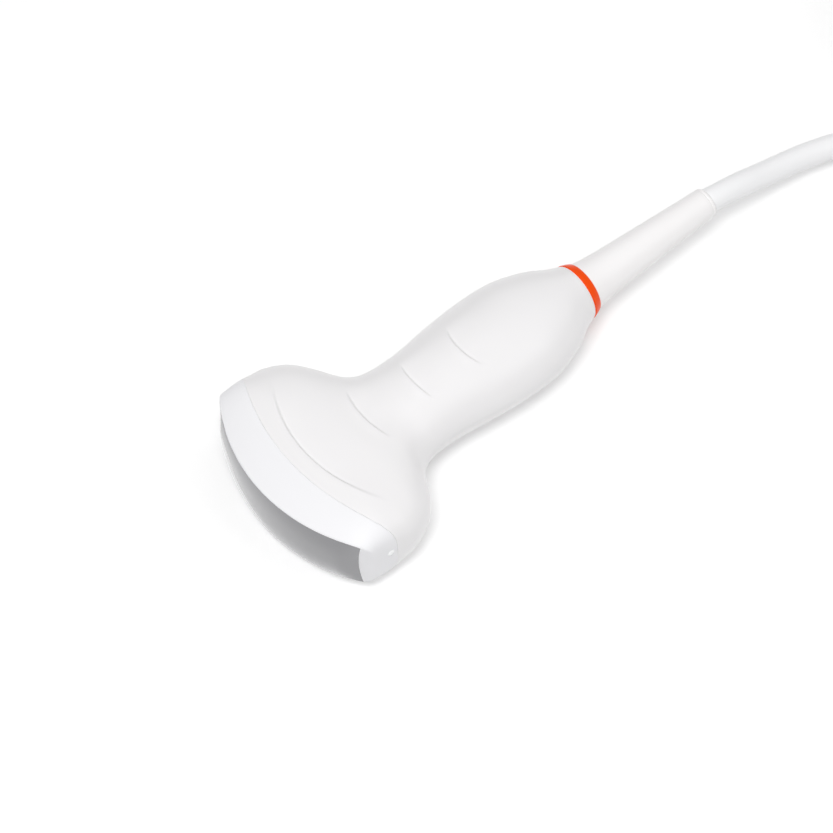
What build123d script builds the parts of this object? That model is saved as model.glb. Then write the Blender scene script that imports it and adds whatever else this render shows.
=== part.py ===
"""Curved-array ultrasound transducer probe with its cable and plug, in millimetres.

The probe lies flat, as it is put down on a table. X runs along its axis from the lens to the cable,
Y runs across the head and Z is up. The origin is on the table, under the middle of the probe.
"""
from build123d import *
import math
import os

# Driving dimensions of the probe
axis_height = 12.0  # half the thickness of head and grip, which both touch the table
lens_to_boot = 150.5  # lens arc to the end of the strain relief
lens_radius = 52.0  # curve of the nose front, seen from above
half_window = 29.1  # half the width of the lens
handle_length = 104.0  # lens arc to the coloured ring
seam_depth = 10.1  # nose seam behind the lens arc, on the axis
seam_radius = 66.4

# The head thins towards the lens over this depth, by this much at the lens
nose_reach = 16.0
nose_drop = 3.4
nose_rim = 0.6  # plastic left above and below the lens
nose_corner = 4.5  # rounding from the nose front to its sides
nose_spare = 0.35  # that rounding would end this far outside the head

# Outer form of the head: distance behind the lens, half width, half thickness, squareness of the section
head_sections = [
    (-1.0, 30.0, 12.0, 12.0),
    (4.0, 30.5, 12.0, 12.0),
    (9.0, 31.0, 12.0, 12.0),
    (14.0, 31.5, 12.0, 7.5),
    (19.0, 31.9, 12.0, 4.5),
    (24.0, 31.9, 11.8, 3.4),
    (28.0, 30.5, 11.4, 3.1),
    (31.5, 28.5, 11.0, 2.6),
    (34.5, 24.8, 10.7, 2.3),
    (38.0, 18.6, 10.5, 2.2),
    (41.5, 15.6, 10.5, 2.1),
]
nose_rows = (0, 5)  # the nose's sides are straight between these two sections

# Outer form of the grip: share of the way from the neck to the ring, then the same sizes
grip_sections = [
    (0.072, 14.3, 10.9, 2.1),
    (0.2, 14.2, 11.5, 2.05),
    (0.36, 15.5, 11.9, 2.0),
    (0.536, 16.4, 12.0, 2.0),
    (0.696, 15.8, 11.6, 2.2),
    (0.792, 14.3, 11.0, 2.2),
    (0.872, 12.3, 10.1, 2.2),
    (0.936, 9.9, 9.2, 2.1),
    (1.0, 8.15, 8.15, 2.0),
]
section_steps = 24  # points over one half of a section

# Finger scallops: height above the axis at the step, rise per mm, curve radius of the step
head_scallops = [(14.8, 11.45, 0.0, 40.0), (33.0, 10.5, 0.0, 27.0)]  # each after its place behind the lens
grip_scallops = [(0.12, 10.65, 0.1, 25.0), (0.37, 11.45, 0.045, 25.0)]  # each after its share of the grip
scallop_length = 16.0
scallop_half_angle = 75.0  # how far round its curve a step goes to each side

# Orientation mark, a small dome on one side of the nose
mark_behind = 16.3
mark_above = 1.4
mark_radius = 1.1
mark_half_width = head_sections[3][1]  # half width of the head there
mark_proud = 0.5

# Tail: coloured ring, strain relief and cable
ring_width = 2.2
ring_far_radius = 6.9
boot_base_radius = 6.4
boot_end_radius = 4.2
boot_edge = 0.6
boot_shank_radius = 5.2
boot_flange_radius = 7.0
boot_flange = 2.5
tail_bore = 9.5  # length of handle round the shank
cable_radius = 3.5

# Array in the head, front to back
lens_recess = 0.4  # lens edge behind the nose front
lens_crown = 0.6  # lens middle in front of it
lens_thick = 1.4
matching_thick = 0.4
piezo_thick = 0.6
backing_thick = 8.0
frame_wall = 1.6
frame_depth = 14.0
frame_end_angle = 3.0  # thickness of the frame's two ends, in degrees of the lens curve

# Room inside the handle, wide in the head and narrow in the grip
room_head = [(14.0, 15.0), (22.0, 21.0), (27.0, 21.0), (38.0, 9.0)]  # distance behind the lens, half width
room_tail_half = 6.0
room_tail_length = 6.0
room_taper = 2.0
room_half_height = 6.6

# Boards and wiring in the handle
board_clear = 10.0  # boards to the room's narrow tail
board_length = 26.0
board_width = 16.0
board_thick = 1.0
board_gap = 6.0
spacer_radius = 1.2
spacer_inset = 1.8
rib_places = (10.0, 22.0)  # behind the boards' front
rib_thick = 1.6
flex_thick = 0.3
flex_head = [(8.0, 17.0), (20.0, 17.0)]  # distance behind the lens, half width
flex_tail_half = 7.0
flex_overlap = 5.0
bundle_overlap = 10.0
bundle_width = 8.0
clamp_length = 4.5
pin_radius = 1.2
pin_height = 2.0
head_pin = (26.0, 26.5)  # distance behind the lens, distance from the axis
grip_pin = (0.456, 12.6)  # share of the grip, distance from the axis

# Cable put away in a hank, a flat oval bundle two cables wide and three high
hank_west = 175.0
hank_run = 105.0
hank_inner_bend = 22.0
hank_outer_bend = 29.0
hank_layers = 3
tie_thick = 1.0
tie_width = 12.0
hank_stub = 22.0

# Plug at the far end of the cable
plug_size = (72.0, 40.0, 28.0)
plug_corner = 5.0
plug_edge = 2.0
plug_wall = 2.4
plug_boot_length = 24.0
plug_boot_radius = 7.0
plug_board_length = 48.0
plug_board_thick = 1.6
nose_block = (8.0, 32.0, 16.0)  # the part of the contact block that goes into the socket
block_step = 1.2
contact_plate = 3.0
contact_columns = 12
contact_rows = 4
contact_pitch = 2.4
contact_size = (1.6, 0.9)
contact_depth = 0.6

# Places worked out from the sizes above
front = -(lens_to_boot - lens_crown) / 2  # the lens arc's foremost point
lens_centre = front + lens_radius
seam_centre = front + seam_depth + seam_radius
ring_start = front + handle_length
neck = head_sections[-1][0]
grip_length = handle_length - neck
boot_start = ring_start + ring_width
boot_end = front + lens_to_boot
window_angle = math.degrees(math.asin(half_window / lens_radius))
window_half_height = axis_height - nose_drop - nose_rim
array_half_height = window_half_height - frame_wall
array_angle = window_angle - frame_end_angle
lens_edge_radius = lens_radius - lens_recess
frame_front = lens_edge_radius - lens_thick
frame_back = frame_front - frame_depth
whole_height = 2 * axis_height
room_end = handle_length - tail_bore - boot_flange
room_narrow = room_end - room_tail_length
room_wide = room_narrow - room_taper
board_start = room_wide - board_clear - board_length
middle = Plane.XY.offset(axis_height)
cable_axis = Axis((0, 0, axis_height), (1, 0, 0))
lens_axis = Axis((lens_centre, 0, 0), (0, 0, 1))


def nose_fall(behind, across):
    """How much thinner the head is near the lens: a curve behind the lens arc, straight ahead of it."""
    arc = lens_radius - math.sqrt(lens_radius**2 - across**2)
    share = max(0.0, 1 - (behind - arc) / nose_reach)
    if share > 1:
        return nose_drop * (2 * share - 1)
    return nose_drop * share**2


def grip_place(share):
    """Distance behind the lens of a place on the grip."""
    return neck + share * grip_length


def half_section(behind, half_width, half_thick, squareness):
    """Curve round one side of a cross-section, a rounded rectangle that goes over to an oval."""
    points = []
    shares = [step / section_steps for step in range(section_steps + 1)]
    for share in shares:
        side = math.sin(math.pi * share)
        rise = -math.cos(math.pi * share)
        reach = (abs(side) ** squareness + abs(rise) ** squareness) ** (-1 / squareness)
        across = half_width * reach * side
        points.append((across, (half_thick - nose_fall(behind, across)) * reach * rise))
    return Edge.make_spline(points, tangents=[(1, 0), (-1, 0)], parameters=shares)


def upright_plane(centre, half_angle):
    """A plane through an upright axis, at one end of a band that goes this far round to each side."""
    start = math.radians(180 - half_angle)
    out = (math.cos(start), math.sin(start), 0)
    return Plane((centre, 0, axis_height), out, (out[1], -out[0], 0))


def sector(inner, outer, half_angle):
    """A flat band round the lens axis, between two radii."""
    start = 180 - half_angle
    with BuildSketch() as band:
        with BuildLine():
            far = CenterArc((lens_centre, 0), outer, start, 2 * half_angle)
            near = CenterArc((lens_centre, 0), inner, start, 2 * half_angle)
            Line(far @ 0, near @ 0)
            Line(far @ 1, near @ 1)
        make_face()
    return band.sketch


def outline(places):
    """A flat shape that is the same on both sides of the axis."""
    one_side = [(front + behind, half) for behind, half in places]
    other_side = [(x, -half) for x, half in reversed(one_side)]
    with BuildSketch() as shape:
        with BuildLine():
            Polyline(*one_side, *other_side, close=True)
        make_face()
    return shape.sketch


def nose_outline():
    """The nose seen from above: the lens arc, rounded over to the head's two sides."""
    sides = [head_sections[row] for row in nose_rows]
    with BuildSketch() as shape:
        add(outline([(behind, half_width + nose_spare) for behind, half_width, *_ in sides]))
        with Locations((lens_centre, 0)):
            Circle(lens_radius, mode=Mode.INTERSECT)
        fillet(shape.vertices().group_by(Axis.X)[0], nose_corner)
    return shape.sketch


def layer(name, inner, outer):
    """One layer of the array stack, curved as the lens is."""
    with BuildPart() as piece:
        with BuildSketch(middle):
            add(sector(inner, outer, array_angle))
        extrude(amount=array_half_height, both=True)
    piece.part.label = name
    return piece.part


def bend_radii(points):
    """The largest arcs that a cable's runs leave room for, one for each corner."""
    corners = [Vector(point) for point in points]
    radii = []
    for before, corner, after in zip(corners, corners[1:], corners[2:]):
        turn = math.radians((corner - before).get_angle(after - corner))
        shorter = min((corner - before).length, (after - corner).length)
        radii.append(0.45 * shorter / math.tan(turn / 2))
    print("bend radii", [round(radius, 1) for radius in radii])
    return radii


# Outer form of nose and handle together, lofted through its sections
grip_stations = [(grip_place(share), *sizes) for share, *sizes in grip_sections]

with BuildPart() as outer_form:
    for behind, half_width, half_thick, squareness in head_sections + grip_stations:
        with BuildSketch(Plane((front + behind, 0, axis_height), (0, 1, 0), (1, 0, 0))):
            with BuildLine():
                add(half_section(behind, half_width, half_thick, squareness))
                mirror(about=Plane.YZ)
            make_face()
    loft()

# Nosepiece: the form ahead of the seam, with the window for the lens
with BuildPart() as nosepiece:
    add(outer_form.part)
    with BuildSketch(Plane.XY):
        add(nose_outline())
    extrude(amount=whole_height, mode=Mode.INTERSECT)
    with BuildSketch(Plane.XY):
        with Locations((seam_centre, 0)):
            Circle(seam_radius)
    extrude(amount=whole_height, mode=Mode.SUBTRACT)
    with BuildSketch(middle):
        add(sector(frame_back, lens_radius + 1, window_angle))
    extrude(amount=window_half_height, both=True, mode=Mode.SUBTRACT)
    mark_side = -(mark_half_width - mark_radius + mark_proud)
    with Locations((front + mark_behind, mark_side, axis_height + mark_above)):
        Sphere(mark_radius)
nosepiece.part.label = "nosepiece"

# Half of the handle, before what differs between the two halves
grip_cuts = [(grip_place(share), *sizes) for share, *sizes in grip_scallops]
room_outline = [
    *room_head,
    (room_wide, room_head[-1][1]),
    (room_narrow, room_tail_half),
    (room_end, room_tail_half),
]

with BuildPart() as half_handle:
    add(outer_form.part)
    with BuildSketch(middle):
        with Locations((seam_centre, 0)):
            Circle(seam_radius)
    extrude(amount=axis_height + 1, mode=Mode.INTERSECT)
    for behind, height, rise, radius in head_scallops + grip_cuts:
        centre = front + behind + radius
        with BuildSketch(upright_plane(centre, scallop_half_angle)):
            with BuildLine():
                far = height + rise * scallop_length
                Polyline(
                    (radius, height),
                    (radius, axis_height + 2),
                    (radius - scallop_length, axis_height + 2),
                    (radius - scallop_length, far),
                    close=True,
                )
            make_face()
        scallop_axis = Axis((centre, 0, 0), (0, 0, 1))
        revolve(axis=scallop_axis, revolution_arc=2 * scallop_half_angle, mode=Mode.SUBTRACT)
    with BuildSketch(middle):
        add(sector(frame_back, lens_radius + 1, window_angle))
    extrude(amount=window_half_height, mode=Mode.SUBTRACT)
    with BuildSketch(middle):
        add(outline(room_outline))
    extrude(amount=room_half_height, mode=Mode.SUBTRACT)
    with BuildSketch(Plane.YZ.offset(ring_start - tail_bore - boot_flange)):
        with Locations((0, axis_height)):
            Circle(boot_flange_radius)
    extrude(amount=boot_flange, mode=Mode.SUBTRACT)
    with BuildSketch(Plane.YZ.offset(ring_start - tail_bore)):
        with Locations((0, axis_height)):
            Circle(boot_shank_radius)
    extrude(amount=tail_bore, mode=Mode.SUBTRACT)
    rib_height = room_half_height - board_gap / 2 - board_thick
    with BuildSketch(middle.offset(room_half_height - rib_height)):
        for place in rib_places:
            with Locations((front + board_start + place, 0)):
                Rectangle(rib_thick, 2 * room_head[-1][1])
    extrude(amount=rib_height)

pin_places = [head_pin, (grip_place(grip_pin[0]), grip_pin[1])]
pin_points = [(front + behind, side * half) for behind, half in pin_places for side in (1, -1)]

with BuildPart() as handle_upper:
    add(half_handle.part)
    with BuildSketch(middle):
        with Locations(*pin_points):
            Circle(pin_radius)
    extrude(amount=pin_height, mode=Mode.SUBTRACT)
handle_upper.part.label = "handle_upper"

with BuildPart() as handle_lower:
    mirror(half_handle.part, about=middle)
    with BuildSketch(middle):
        with Locations(*pin_points):
            Circle(pin_radius)
    extrude(amount=pin_height)
handle_lower.part.label = "handle_lower"

# Lens, with a front that also bulges over its height
with BuildPart() as acoustic_lens:
    with BuildSketch(upright_plane(lens_centre, window_angle)):
        with BuildLine():
            Polyline(
                (lens_edge_radius, -window_half_height),
                (frame_front, -window_half_height),
                (frame_front, window_half_height),
                (lens_edge_radius, window_half_height),
            )
            ThreePointArc(
                (lens_edge_radius, window_half_height),
                (lens_radius + lens_crown, 0),
                (lens_edge_radius, -window_half_height),
            )
        make_face()
    revolve(axis=lens_axis, revolution_arc=2 * window_angle)
acoustic_lens.part.label = "acoustic_lens"

# Array stack behind the lens
outer_matching_back = frame_front - matching_thick
inner_matching_back = outer_matching_back - matching_thick
piezo_back = inner_matching_back - piezo_thick
backing_back = piezo_back - backing_thick
outer_matching_layer = layer("outer_matching_layer", outer_matching_back, frame_front)
inner_matching_layer = layer("inner_matching_layer", inner_matching_back, outer_matching_back)
piezo_array = layer("piezo_array", piezo_back, inner_matching_back)
backing_block = layer("backing_block", backing_back, piezo_back)

# Frame that holds the stack and joins the nosepiece to the handle
with BuildPart() as array_frame:
    with BuildSketch(middle):
        add(sector(frame_back, frame_front, window_angle))
    extrude(amount=window_half_height, both=True)
    with BuildSketch(middle):
        add(sector(frame_back - 1, frame_front + 1, array_angle))
    extrude(amount=array_half_height, both=True, mode=Mode.SUBTRACT)
array_frame.part.label = "array_frame"

# Interconnect boards, one above the other, kept apart by four spacers
board_middle = front + board_start + board_length / 2
board_face = board_gap / 2

with BuildPart() as board_upper:
    with BuildSketch(middle.offset(board_face)):
        with Locations((board_middle, 0)):
            Rectangle(board_length, board_width)
    extrude(amount=board_thick)
board_upper.part.label = "board_upper"

with BuildPart() as board_lower:
    mirror(board_upper.part, about=middle)
board_lower.part.label = "board_lower"

with BuildPart() as board_spacers:
    with BuildSketch(middle):
        with Locations((board_middle, 0)):
            apart = (board_length - 2 * spacer_inset, board_width - 2 * spacer_inset)
            with GridLocations(*apart, 2, 2):
                Circle(spacer_radius)
    extrude(amount=board_face, both=True)
board_spacers.part.label = "board_spacers"

# Flexible circuits from the array to the boards
flex_narrow = min(room_head[-1][0], board_start)
flex_tail = [(flex_narrow, flex_tail_half), (board_start + flex_overlap, flex_tail_half)]

with BuildPart() as flex_upper:
    flex_plane = middle.offset(board_face + board_thick)
    with BuildSketch(flex_plane):
        add(outline(flex_head + flex_tail))
        with Locations((lens_centre, 0)):
            Circle(backing_back, mode=Mode.INTERSECT)
    extrude(amount=flex_thick)
flex_upper.part.label = "flex_upper"

with BuildPart() as flex_lower:
    mirror(flex_upper.part, about=middle)
flex_lower.part.label = "flex_lower"

# Cable end inside the handle: clamp, jacket and the bundle of fine coax between the boards
clamp_start = front + room_end - clamp_length - boot_flange / 2
bundle_start = board_start + board_length - bundle_overlap
inner_start = clamp_start - 1

with BuildPart() as cable_clamp:
    with BuildSketch(Plane.YZ.offset(clamp_start)):
        with Locations((0, axis_height)):
            Rectangle(2 * room_tail_half, 2 * room_half_height)
            Circle(cable_radius, mode=Mode.SUBTRACT)
    extrude(amount=clamp_length)
cable_clamp.part.label = "cable_clamp"

with BuildPart() as cable_inner:
    with BuildSketch(Plane.YZ.offset(inner_start)):
        with Locations((0, axis_height)):
            Circle(cable_radius)
    extrude(amount=boot_end - inner_start)
cable_inner.part.label = "cable_inner"

with BuildPart() as wire_bundle:
    with BuildSketch(Plane.YZ.offset(front + bundle_start)):
        with Locations((0, axis_height)):
            RectangleRounded(bundle_width, board_gap, board_gap / 3)
    extrude(amount=inner_start - front - bundle_start)
wire_bundle.part.label = "wire_bundle"

# Coloured ring that closes the handle
with BuildPart() as colour_ring:
    with BuildSketch(Plane.XZ):
        with BuildLine():
            Polyline(
                (ring_start, axis_height + boot_shank_radius),
                (ring_start, axis_height + grip_sections[-1][1]),
                (boot_start, axis_height + ring_far_radius),
                (boot_start, axis_height + boot_shank_radius),
                close=True,
            )
        make_face()
    revolve(axis=cable_axis)
colour_ring.part.label = "colour_ring"

# Strain relief: a tapered sleeve with a shank and a flange held in the handle's tail
with BuildPart() as strain_relief:
    shank_end = ring_start - tail_bore
    with BuildSketch(Plane.XZ):
        with BuildLine():
            Polyline(
                (shank_end - boot_flange, axis_height + cable_radius),
                (shank_end - boot_flange, axis_height + boot_flange_radius),
                (shank_end, axis_height + boot_flange_radius),
                (shank_end, axis_height + boot_shank_radius),
                (boot_start, axis_height + boot_shank_radius),
                (boot_start, axis_height + boot_base_radius),
                (boot_end, axis_height + boot_end_radius),
                (boot_end, axis_height + cable_radius),
                close=True,
            )
        make_face()
    revolve(axis=cable_axis)
    end_rim = edges().filter_by(GeomType.CIRCLE).group_by(Axis.X)[-1].sort_by(SortBy.RADIUS)[-1]
    fillet(end_rim, boot_edge)
strain_relief.part.label = "strain_relief"

# Cable from the strain relief over the table to the hank
hank_east = hank_west + hank_run
hank_level = tie_thick + cable_radius  # the lowest turns, which the tie lifts off the table
hank_top_level = hank_level + (hank_layers - 1) * 2 * cable_radius
route_out = [
    (boot_end, 0, axis_height),
    (84.8, 0, axis_height),
    (99.0, -1.5, 9.0),
    (116.0, -3.4, 4.9),
    (131.0, -9.6, 4.2),
    (151.0, -23.5, 4.4),
    (164.0, -28.6, hank_level),
    (178.0, -hank_outer_bend - 0.2, hank_level),
]
free_points = 5  # points of that route before the hank takes over
hank_joint = (Vector(route_out[free_points - 1]) + Vector(route_out[free_points])) * 0.5
free_route = route_out[:free_points] + [hank_joint]
hank_route = [hank_joint] + route_out[free_points:]

with BuildPart() as cable:
    with BuildLine() as cable_line:
        FilletPolyline(*free_route, radius=bend_radii(free_route))
    with BuildSketch(Plane(cable_line.line @ 0, z_dir=cable_line.line % 0)):
        Circle(cable_radius)
    sweep()
cable.part.label = "cable"
cable_section = math.pi * cable_radius**2
cable_length = sum(edge.length for edge in cable_line.edges())
print("cable", cable_length, "mm, volume ratio", cable.part.volume / cable_section / cable_length)

# Hank: the outer form of the wound turns, with the two stretches that run in and out of it
with BuildPart() as cable_hank:
    with BuildSketch(Plane.XY.offset(tie_thick)):
        with Locations(((hank_west + hank_east) / 2, 0)):
            SlotCenterToCenter(hank_run, 2 * (hank_outer_bend + cable_radius))
            SlotCenterToCenter(hank_run, 2 * (hank_inner_bend - cable_radius), mode=Mode.SUBTRACT)
    extrude(amount=hank_layers * 2 * cable_radius)
    with BuildLine() as entry_line:
        FilletPolyline(*hank_route, radius=bend_radii(hank_route))
    with BuildSketch(Plane(entry_line.line @ 0, z_dir=entry_line.line % 0)):
        Circle(cable_radius)
    sweep()
    with BuildSketch(Plane.YZ.offset(hank_east)):
        with Locations((-hank_outer_bend, hank_top_level)):
            Circle(cable_radius)
    extrude(amount=hank_stub)
cable_hank.part.label = "cable_hank"

# Tie round one side of the hank
with BuildPart() as cable_tie:
    bundle_width_across = hank_outer_bend - hank_inner_bend + 2 * cable_radius
    bundle_height = hank_layers * 2 * cable_radius
    bundle_centre = (-(hank_outer_bend + hank_inner_bend) / 2, tie_thick + bundle_height / 2)
    with BuildSketch(Plane.YZ.offset((hank_west + hank_east - tie_width) / 2)):
        with Locations(bundle_centre):
            RectangleRounded(bundle_width_across + 2 * tie_thick, bundle_height + 2 * tie_thick, tie_thick)
            Rectangle(bundle_width_across, bundle_height, mode=Mode.SUBTRACT)
    extrude(amount=tie_width)
cable_tie.part.label = "cable_tie"

# Short lead from the hank to the plug
plug_length, plug_width, plug_height = plug_size
plug_side = -(hank_outer_bend + cable_radius - plug_width / 2)
plug_level = plug_height / 2
lead_start = hank_east + hank_stub
lead_route = [
    (lead_start, -hank_outer_bend, hank_top_level),
    (lead_start + 11, -hank_outer_bend, hank_top_level),
    (lead_start + 26, -25.2, 17.3),
    (lead_start + 41, -17.6, 15.4),
    (lead_start + 54, -13.6, 14.3),
    (lead_start + 66, plug_side, plug_level),
    (lead_start + 77, plug_side, plug_level),
]
lead_end = lead_route[-1][0]

with BuildPart() as cable_lead:
    with BuildLine() as lead_line:
        FilletPolyline(*lead_route, radius=bend_radii(lead_route))
    with BuildSketch(Plane(lead_line.line @ 0, z_dir=lead_line.line % 0)):
        Circle(cable_radius)
    sweep()
cable_lead.part.label = "cable_lead"
lead_length = sum(edge.length for edge in lead_line.edges())
print("lead", lead_length, "mm, volume ratio", cable_lead.part.volume / cable_section / lead_length)

# Plug: two shells that hold a contact block and a board
plug_start = lead_end + plug_boot_length
plug_end = plug_start + plug_length
plug_middle = (plug_start + plug_end) / 2
plug_axis = Axis((0, plug_side, plug_level), (1, 0, 0))
nose_length, nose_width, nose_height = nose_block
block_seat = plug_end - plug_wall

with BuildPart() as plug_base:
    with BuildSketch(Plane.XY):
        with Locations((plug_middle, plug_side)):
            RectangleRounded(plug_length, plug_width, plug_corner)
    extrude(amount=plug_height / 2)
    fillet(faces().sort_by(Axis.Z)[0].edges(), plug_edge)
    with BuildSketch(Plane.XY.offset(plug_wall)):
        with Locations((plug_middle, plug_side)):
            Rectangle(plug_length - 2 * plug_wall, plug_width - 2 * plug_wall)
    extrude(amount=plug_height / 2 - plug_wall, mode=Mode.SUBTRACT)
    with BuildSketch(Plane.YZ.offset(block_seat)):
        with Locations((plug_side, plug_level)):
            Rectangle(nose_width, nose_height)
    extrude(amount=plug_wall, mode=Mode.SUBTRACT)
    with BuildSketch(Plane.YZ.offset(plug_start)):
        with Locations((plug_side, plug_level)):
            Circle(boot_shank_radius)
    extrude(amount=plug_wall, mode=Mode.SUBTRACT)
plug_base.part.label = "plug_base"

with BuildPart() as plug_cover:
    mirror(plug_base.part, about=Plane.XY.offset(plug_level))
plug_cover.part.label = "plug_cover"

with BuildPart() as plug_contacts:
    with BuildSketch(Plane.YZ.offset(plug_end + nose_length - contact_depth)):
        with Locations((plug_side, plug_level)):
            with GridLocations(contact_pitch, contact_pitch, contact_columns, contact_rows):
                Rectangle(*contact_size)
    extrude(amount=contact_depth)
plug_contacts.part.label = "plug_contacts"

with BuildPart() as plug_contact_block:
    with BuildSketch(Plane.YZ.offset(block_seat - contact_plate)):
        with Locations((plug_side, plug_level)):
            Rectangle(nose_width + 2 * block_step, nose_height + 2 * block_step)
    extrude(amount=contact_plate)
    with BuildSketch(Plane.YZ.offset(block_seat)):
        with Locations((plug_side, plug_level)):
            Rectangle(nose_width, nose_height)
    extrude(amount=plug_wall + nose_length)
    chamfer(faces().sort_by(Axis.X)[-1].edges(), block_step / 2)
    add(plug_contacts.part, mode=Mode.SUBTRACT)
plug_contact_block.part.label = "plug_contact_block"

with BuildPart() as plug_board:
    board_end = block_seat - contact_plate
    with BuildSketch(Plane.XY.offset(plug_level - plug_board_thick / 2)):
        with Locations((board_end - plug_board_length / 2, plug_side)):
            Rectangle(plug_board_length, plug_width - 2 * plug_wall)
    extrude(amount=plug_board_thick)
plug_board.part.label = "plug_board"

with BuildPart() as plug_boot:
    with BuildSketch(Plane.XZ.offset(-plug_side)):
        with BuildLine():
            Polyline(
                (lead_end, plug_level),
                (lead_end, plug_level + boot_end_radius),
                (plug_start, plug_level + plug_boot_radius),
                (plug_start, plug_level + boot_shank_radius),
                (plug_start + plug_wall, plug_level + boot_shank_radius),
                (plug_start + plug_wall, plug_level + plug_boot_radius),
                (plug_start + 2 * plug_wall, plug_level + plug_boot_radius),
                (plug_start + 2 * plug_wall, plug_level),
                close=True,
            )
        make_face()
    revolve(axis=plug_axis)
plug_boot.part.label = "plug_boot"

os.makedirs("parts", exist_ok=True)
pieces = [
    nosepiece.part,
    handle_upper.part,
    handle_lower.part,
    acoustic_lens.part,
    outer_matching_layer,
    inner_matching_layer,
    piezo_array,
    backing_block,
    array_frame.part,
    board_upper.part,
    board_lower.part,
    board_spacers.part,
    flex_upper.part,
    flex_lower.part,
    cable_clamp.part,
    cable_inner.part,
    wire_bundle.part,
    colour_ring.part,
    strain_relief.part,
    cable.part,
    cable_hank.part,
    cable_tie.part,
    cable_lead.part,
    plug_base.part,
    plug_cover.part,
    plug_contact_block.part,
    plug_contacts.part,
    plug_board.part,
    plug_boot.part,
]
for piece in pieces:
    export_step(piece, f"parts/{piece.label}.step")
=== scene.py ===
"""Looks of a curved-array ultrasound probe that lies on a white table with its cable and plug."""
import math

import bpy
from mathutils import Matrix, Vector


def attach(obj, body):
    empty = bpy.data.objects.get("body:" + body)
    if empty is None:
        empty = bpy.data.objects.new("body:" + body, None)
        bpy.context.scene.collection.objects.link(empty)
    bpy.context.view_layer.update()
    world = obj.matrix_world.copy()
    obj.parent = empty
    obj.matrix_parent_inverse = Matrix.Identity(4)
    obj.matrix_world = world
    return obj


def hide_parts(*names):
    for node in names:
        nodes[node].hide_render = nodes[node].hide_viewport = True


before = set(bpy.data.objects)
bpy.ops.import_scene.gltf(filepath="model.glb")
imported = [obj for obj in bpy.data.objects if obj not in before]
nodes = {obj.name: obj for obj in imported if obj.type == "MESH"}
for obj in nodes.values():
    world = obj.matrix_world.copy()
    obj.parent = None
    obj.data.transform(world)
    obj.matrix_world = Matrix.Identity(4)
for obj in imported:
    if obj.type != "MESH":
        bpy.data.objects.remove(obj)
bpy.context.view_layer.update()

scene = bpy.context.scene
MM = 0.001


# Camera, at the photograph's viewing angle

CAMERA_AZIMUTH = math.radians(-35.98)
CAMERA_ELEVATION = math.radians(56.58)
CAMERA_ROLL = math.radians(-3.61)
CAMERA_TARGET = (-0.02742, -0.00319, 0.012)
CAMERA_DISTANCE = 0.9
SENSOR_WIDTH = 36.0
PICTURE_WIDTH, FOCAL_PIXELS = 833, 3485.17


def aim_camera():
    """Looks down at the probe from its near side, turned a little about the line of sight."""
    back = Vector((
        math.sin(CAMERA_AZIMUTH) * math.cos(CAMERA_ELEVATION),
        -math.cos(CAMERA_AZIMUTH) * math.cos(CAMERA_ELEVATION),
        math.sin(CAMERA_ELEVATION),
    ))
    side = Vector((math.cos(CAMERA_AZIMUTH), math.sin(CAMERA_AZIMUTH), 0))
    over = back.cross(side)
    rolled_side = side * math.cos(CAMERA_ROLL) + over * math.sin(CAMERA_ROLL)
    rolled_over = over * math.cos(CAMERA_ROLL) - side * math.sin(CAMERA_ROLL)
    data = bpy.data.cameras.new("camera")
    data.sensor_width = SENSOR_WIDTH
    data.lens = SENSOR_WIDTH * FOCAL_PIXELS / PICTURE_WIDTH
    data.clip_start = 0.01
    data.clip_end = 20.0
    camera = bpy.data.objects.new("camera", data)
    scene.collection.objects.link(camera)
    stand = Matrix.Translation(Vector(CAMERA_TARGET) + back * CAMERA_DISTANCE)
    facing = Matrix((rolled_side, rolled_over, back)).transposed().to_4x4()
    camera.matrix_world = stand @ facing
    scene.camera = camera


aim_camera()


# Materials

GRAIN_SCALE, CLOUD_SCALE, MARKS_SCALE = 2600.0, 35.0, 60.0


def new_material(name):
    material = bpy.data.materials.new(name)
    material.use_nodes = True
    tree = material.node_tree
    return material, tree, tree.nodes["Principled BSDF"]


def grain_group():
    """Fine spark-eroded grain, cloudy mottling and faint handling marks of a moulded surface."""
    group = bpy.data.node_groups.new("moulded_grain", "ShaderNodeTree")
    for name, value in (("Grain Scale", GRAIN_SCALE), ("Cloud Scale", CLOUD_SCALE)):
        socket = group.interface.new_socket(name, in_out="INPUT", socket_type="NodeSocketFloat")
        socket.default_value = value
    for name in ("Grain", "Cloud", "Marks"):
        group.interface.new_socket(name, in_out="OUTPUT", socket_type="NodeSocketFloat")
    start = group.nodes.new("NodeGroupInput")
    end = group.nodes.new("NodeGroupOutput")
    place = group.nodes.new("ShaderNodeTexCoord")
    grain = group.nodes.new("ShaderNodeTexNoise")
    grain.inputs["Detail"].default_value = 3.0
    grain.inputs["Roughness"].default_value = 0.6
    cloud = group.nodes.new("ShaderNodeTexNoise")
    cloud.inputs["Detail"].default_value = 2.0
    marks = group.nodes.new("ShaderNodeTexNoise")
    marks.inputs["Scale"].default_value = MARKS_SCALE
    marks.inputs["Detail"].default_value = 2.0
    link = group.links.new
    for texture, output in ((grain, "Grain"), (cloud, "Cloud"), (marks, "Marks")):
        link(place.outputs["Object"], texture.inputs["Vector"])
        link(texture.outputs["Fac"], end.inputs[output])
    link(start.outputs["Grain Scale"], grain.inputs["Scale"])
    link(start.outputs["Cloud Scale"], cloud.inputs["Scale"])
    return group


moulded_grain = grain_group()


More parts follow.
